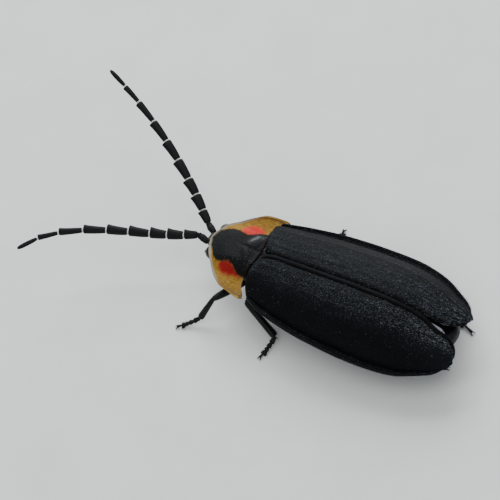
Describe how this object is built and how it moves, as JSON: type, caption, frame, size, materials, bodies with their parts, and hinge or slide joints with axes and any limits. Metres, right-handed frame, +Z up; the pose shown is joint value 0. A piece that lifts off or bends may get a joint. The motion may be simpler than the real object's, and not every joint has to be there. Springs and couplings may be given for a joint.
{
  "type": "firefly",
  "caption": "Life-size black firefly standing on its feet, with an amber and red-spotted neck shield, ribbed matte black wing cases and long raised saw-edged feelers",
  "frame": {"origin": "middle of the model's footprint, on the floor that it stands on", "axes": "+Z up, the head towards -Y, the animal's left side towards +X"},
  "size_m": [0.0074, 0.017, 0.0045],
  "materials": {
    "shell_black": "matte black horn with a blue-grey sheen, finely grained",
    "body_black": "satin black horn",
    "shield_amber": "satin horn, amber sides, red spots and a black middle",
    "feeler_black": "matte black with pale joints",
    "eye_black": "glossy black, finely faceted",
    "wing_smoke": "smoky translucent membrane"
  },
  "bodies": {
    "root": {"abdomen": "body_black", "antenna_left": "feeler_black", "antenna_right": "feeler_black", "elytron_left": "shell_black", "elytron_right": "shell_black", "eye_left": "eye_black", "eye_right": "eye_black", "flight_wing_left": "wing_smoke", "flight_wing_right": "wing_smoke", "head": "body_black", "leg_left_front_coxa": "body_black", "leg_left_front_femur": "body_black", "leg_left_front_tarsus": "body_black", "leg_left_front_tibia": "body_black", "leg_left_hind_coxa": "body_black", "leg_left_hind_femur": "body_black", "leg_left_hind_tarsus": "body_black", "leg_left_hind_tibia": "body_black", "leg_left_middle_coxa": "body_black", "leg_left_middle_femur": "body_black", "leg_left_middle_tarsus": "body_black", "leg_left_middle_tibia": "body_black", "leg_right_front_coxa": "body_black", "leg_right_front_femur": "body_black", "leg_right_front_tarsus": "body_black", "leg_right_front_tibia": "body_black", "leg_right_hind_coxa": "body_black", "leg_right_hind_femur": "body_black", "leg_right_hind_tarsus": "body_black", "leg_right_hind_tibia": "body_black", "leg_right_middle_coxa": "body_black", "leg_right_middle_femur": "body_black", "leg_right_middle_tarsus": "body_black", "leg_right_middle_tibia": "body_black", "pronotum": "shield_amber", "prothorax": "body_black", "scutellum": "shell_black", "thorax": "body_black"}
  },
  "joints": []
}
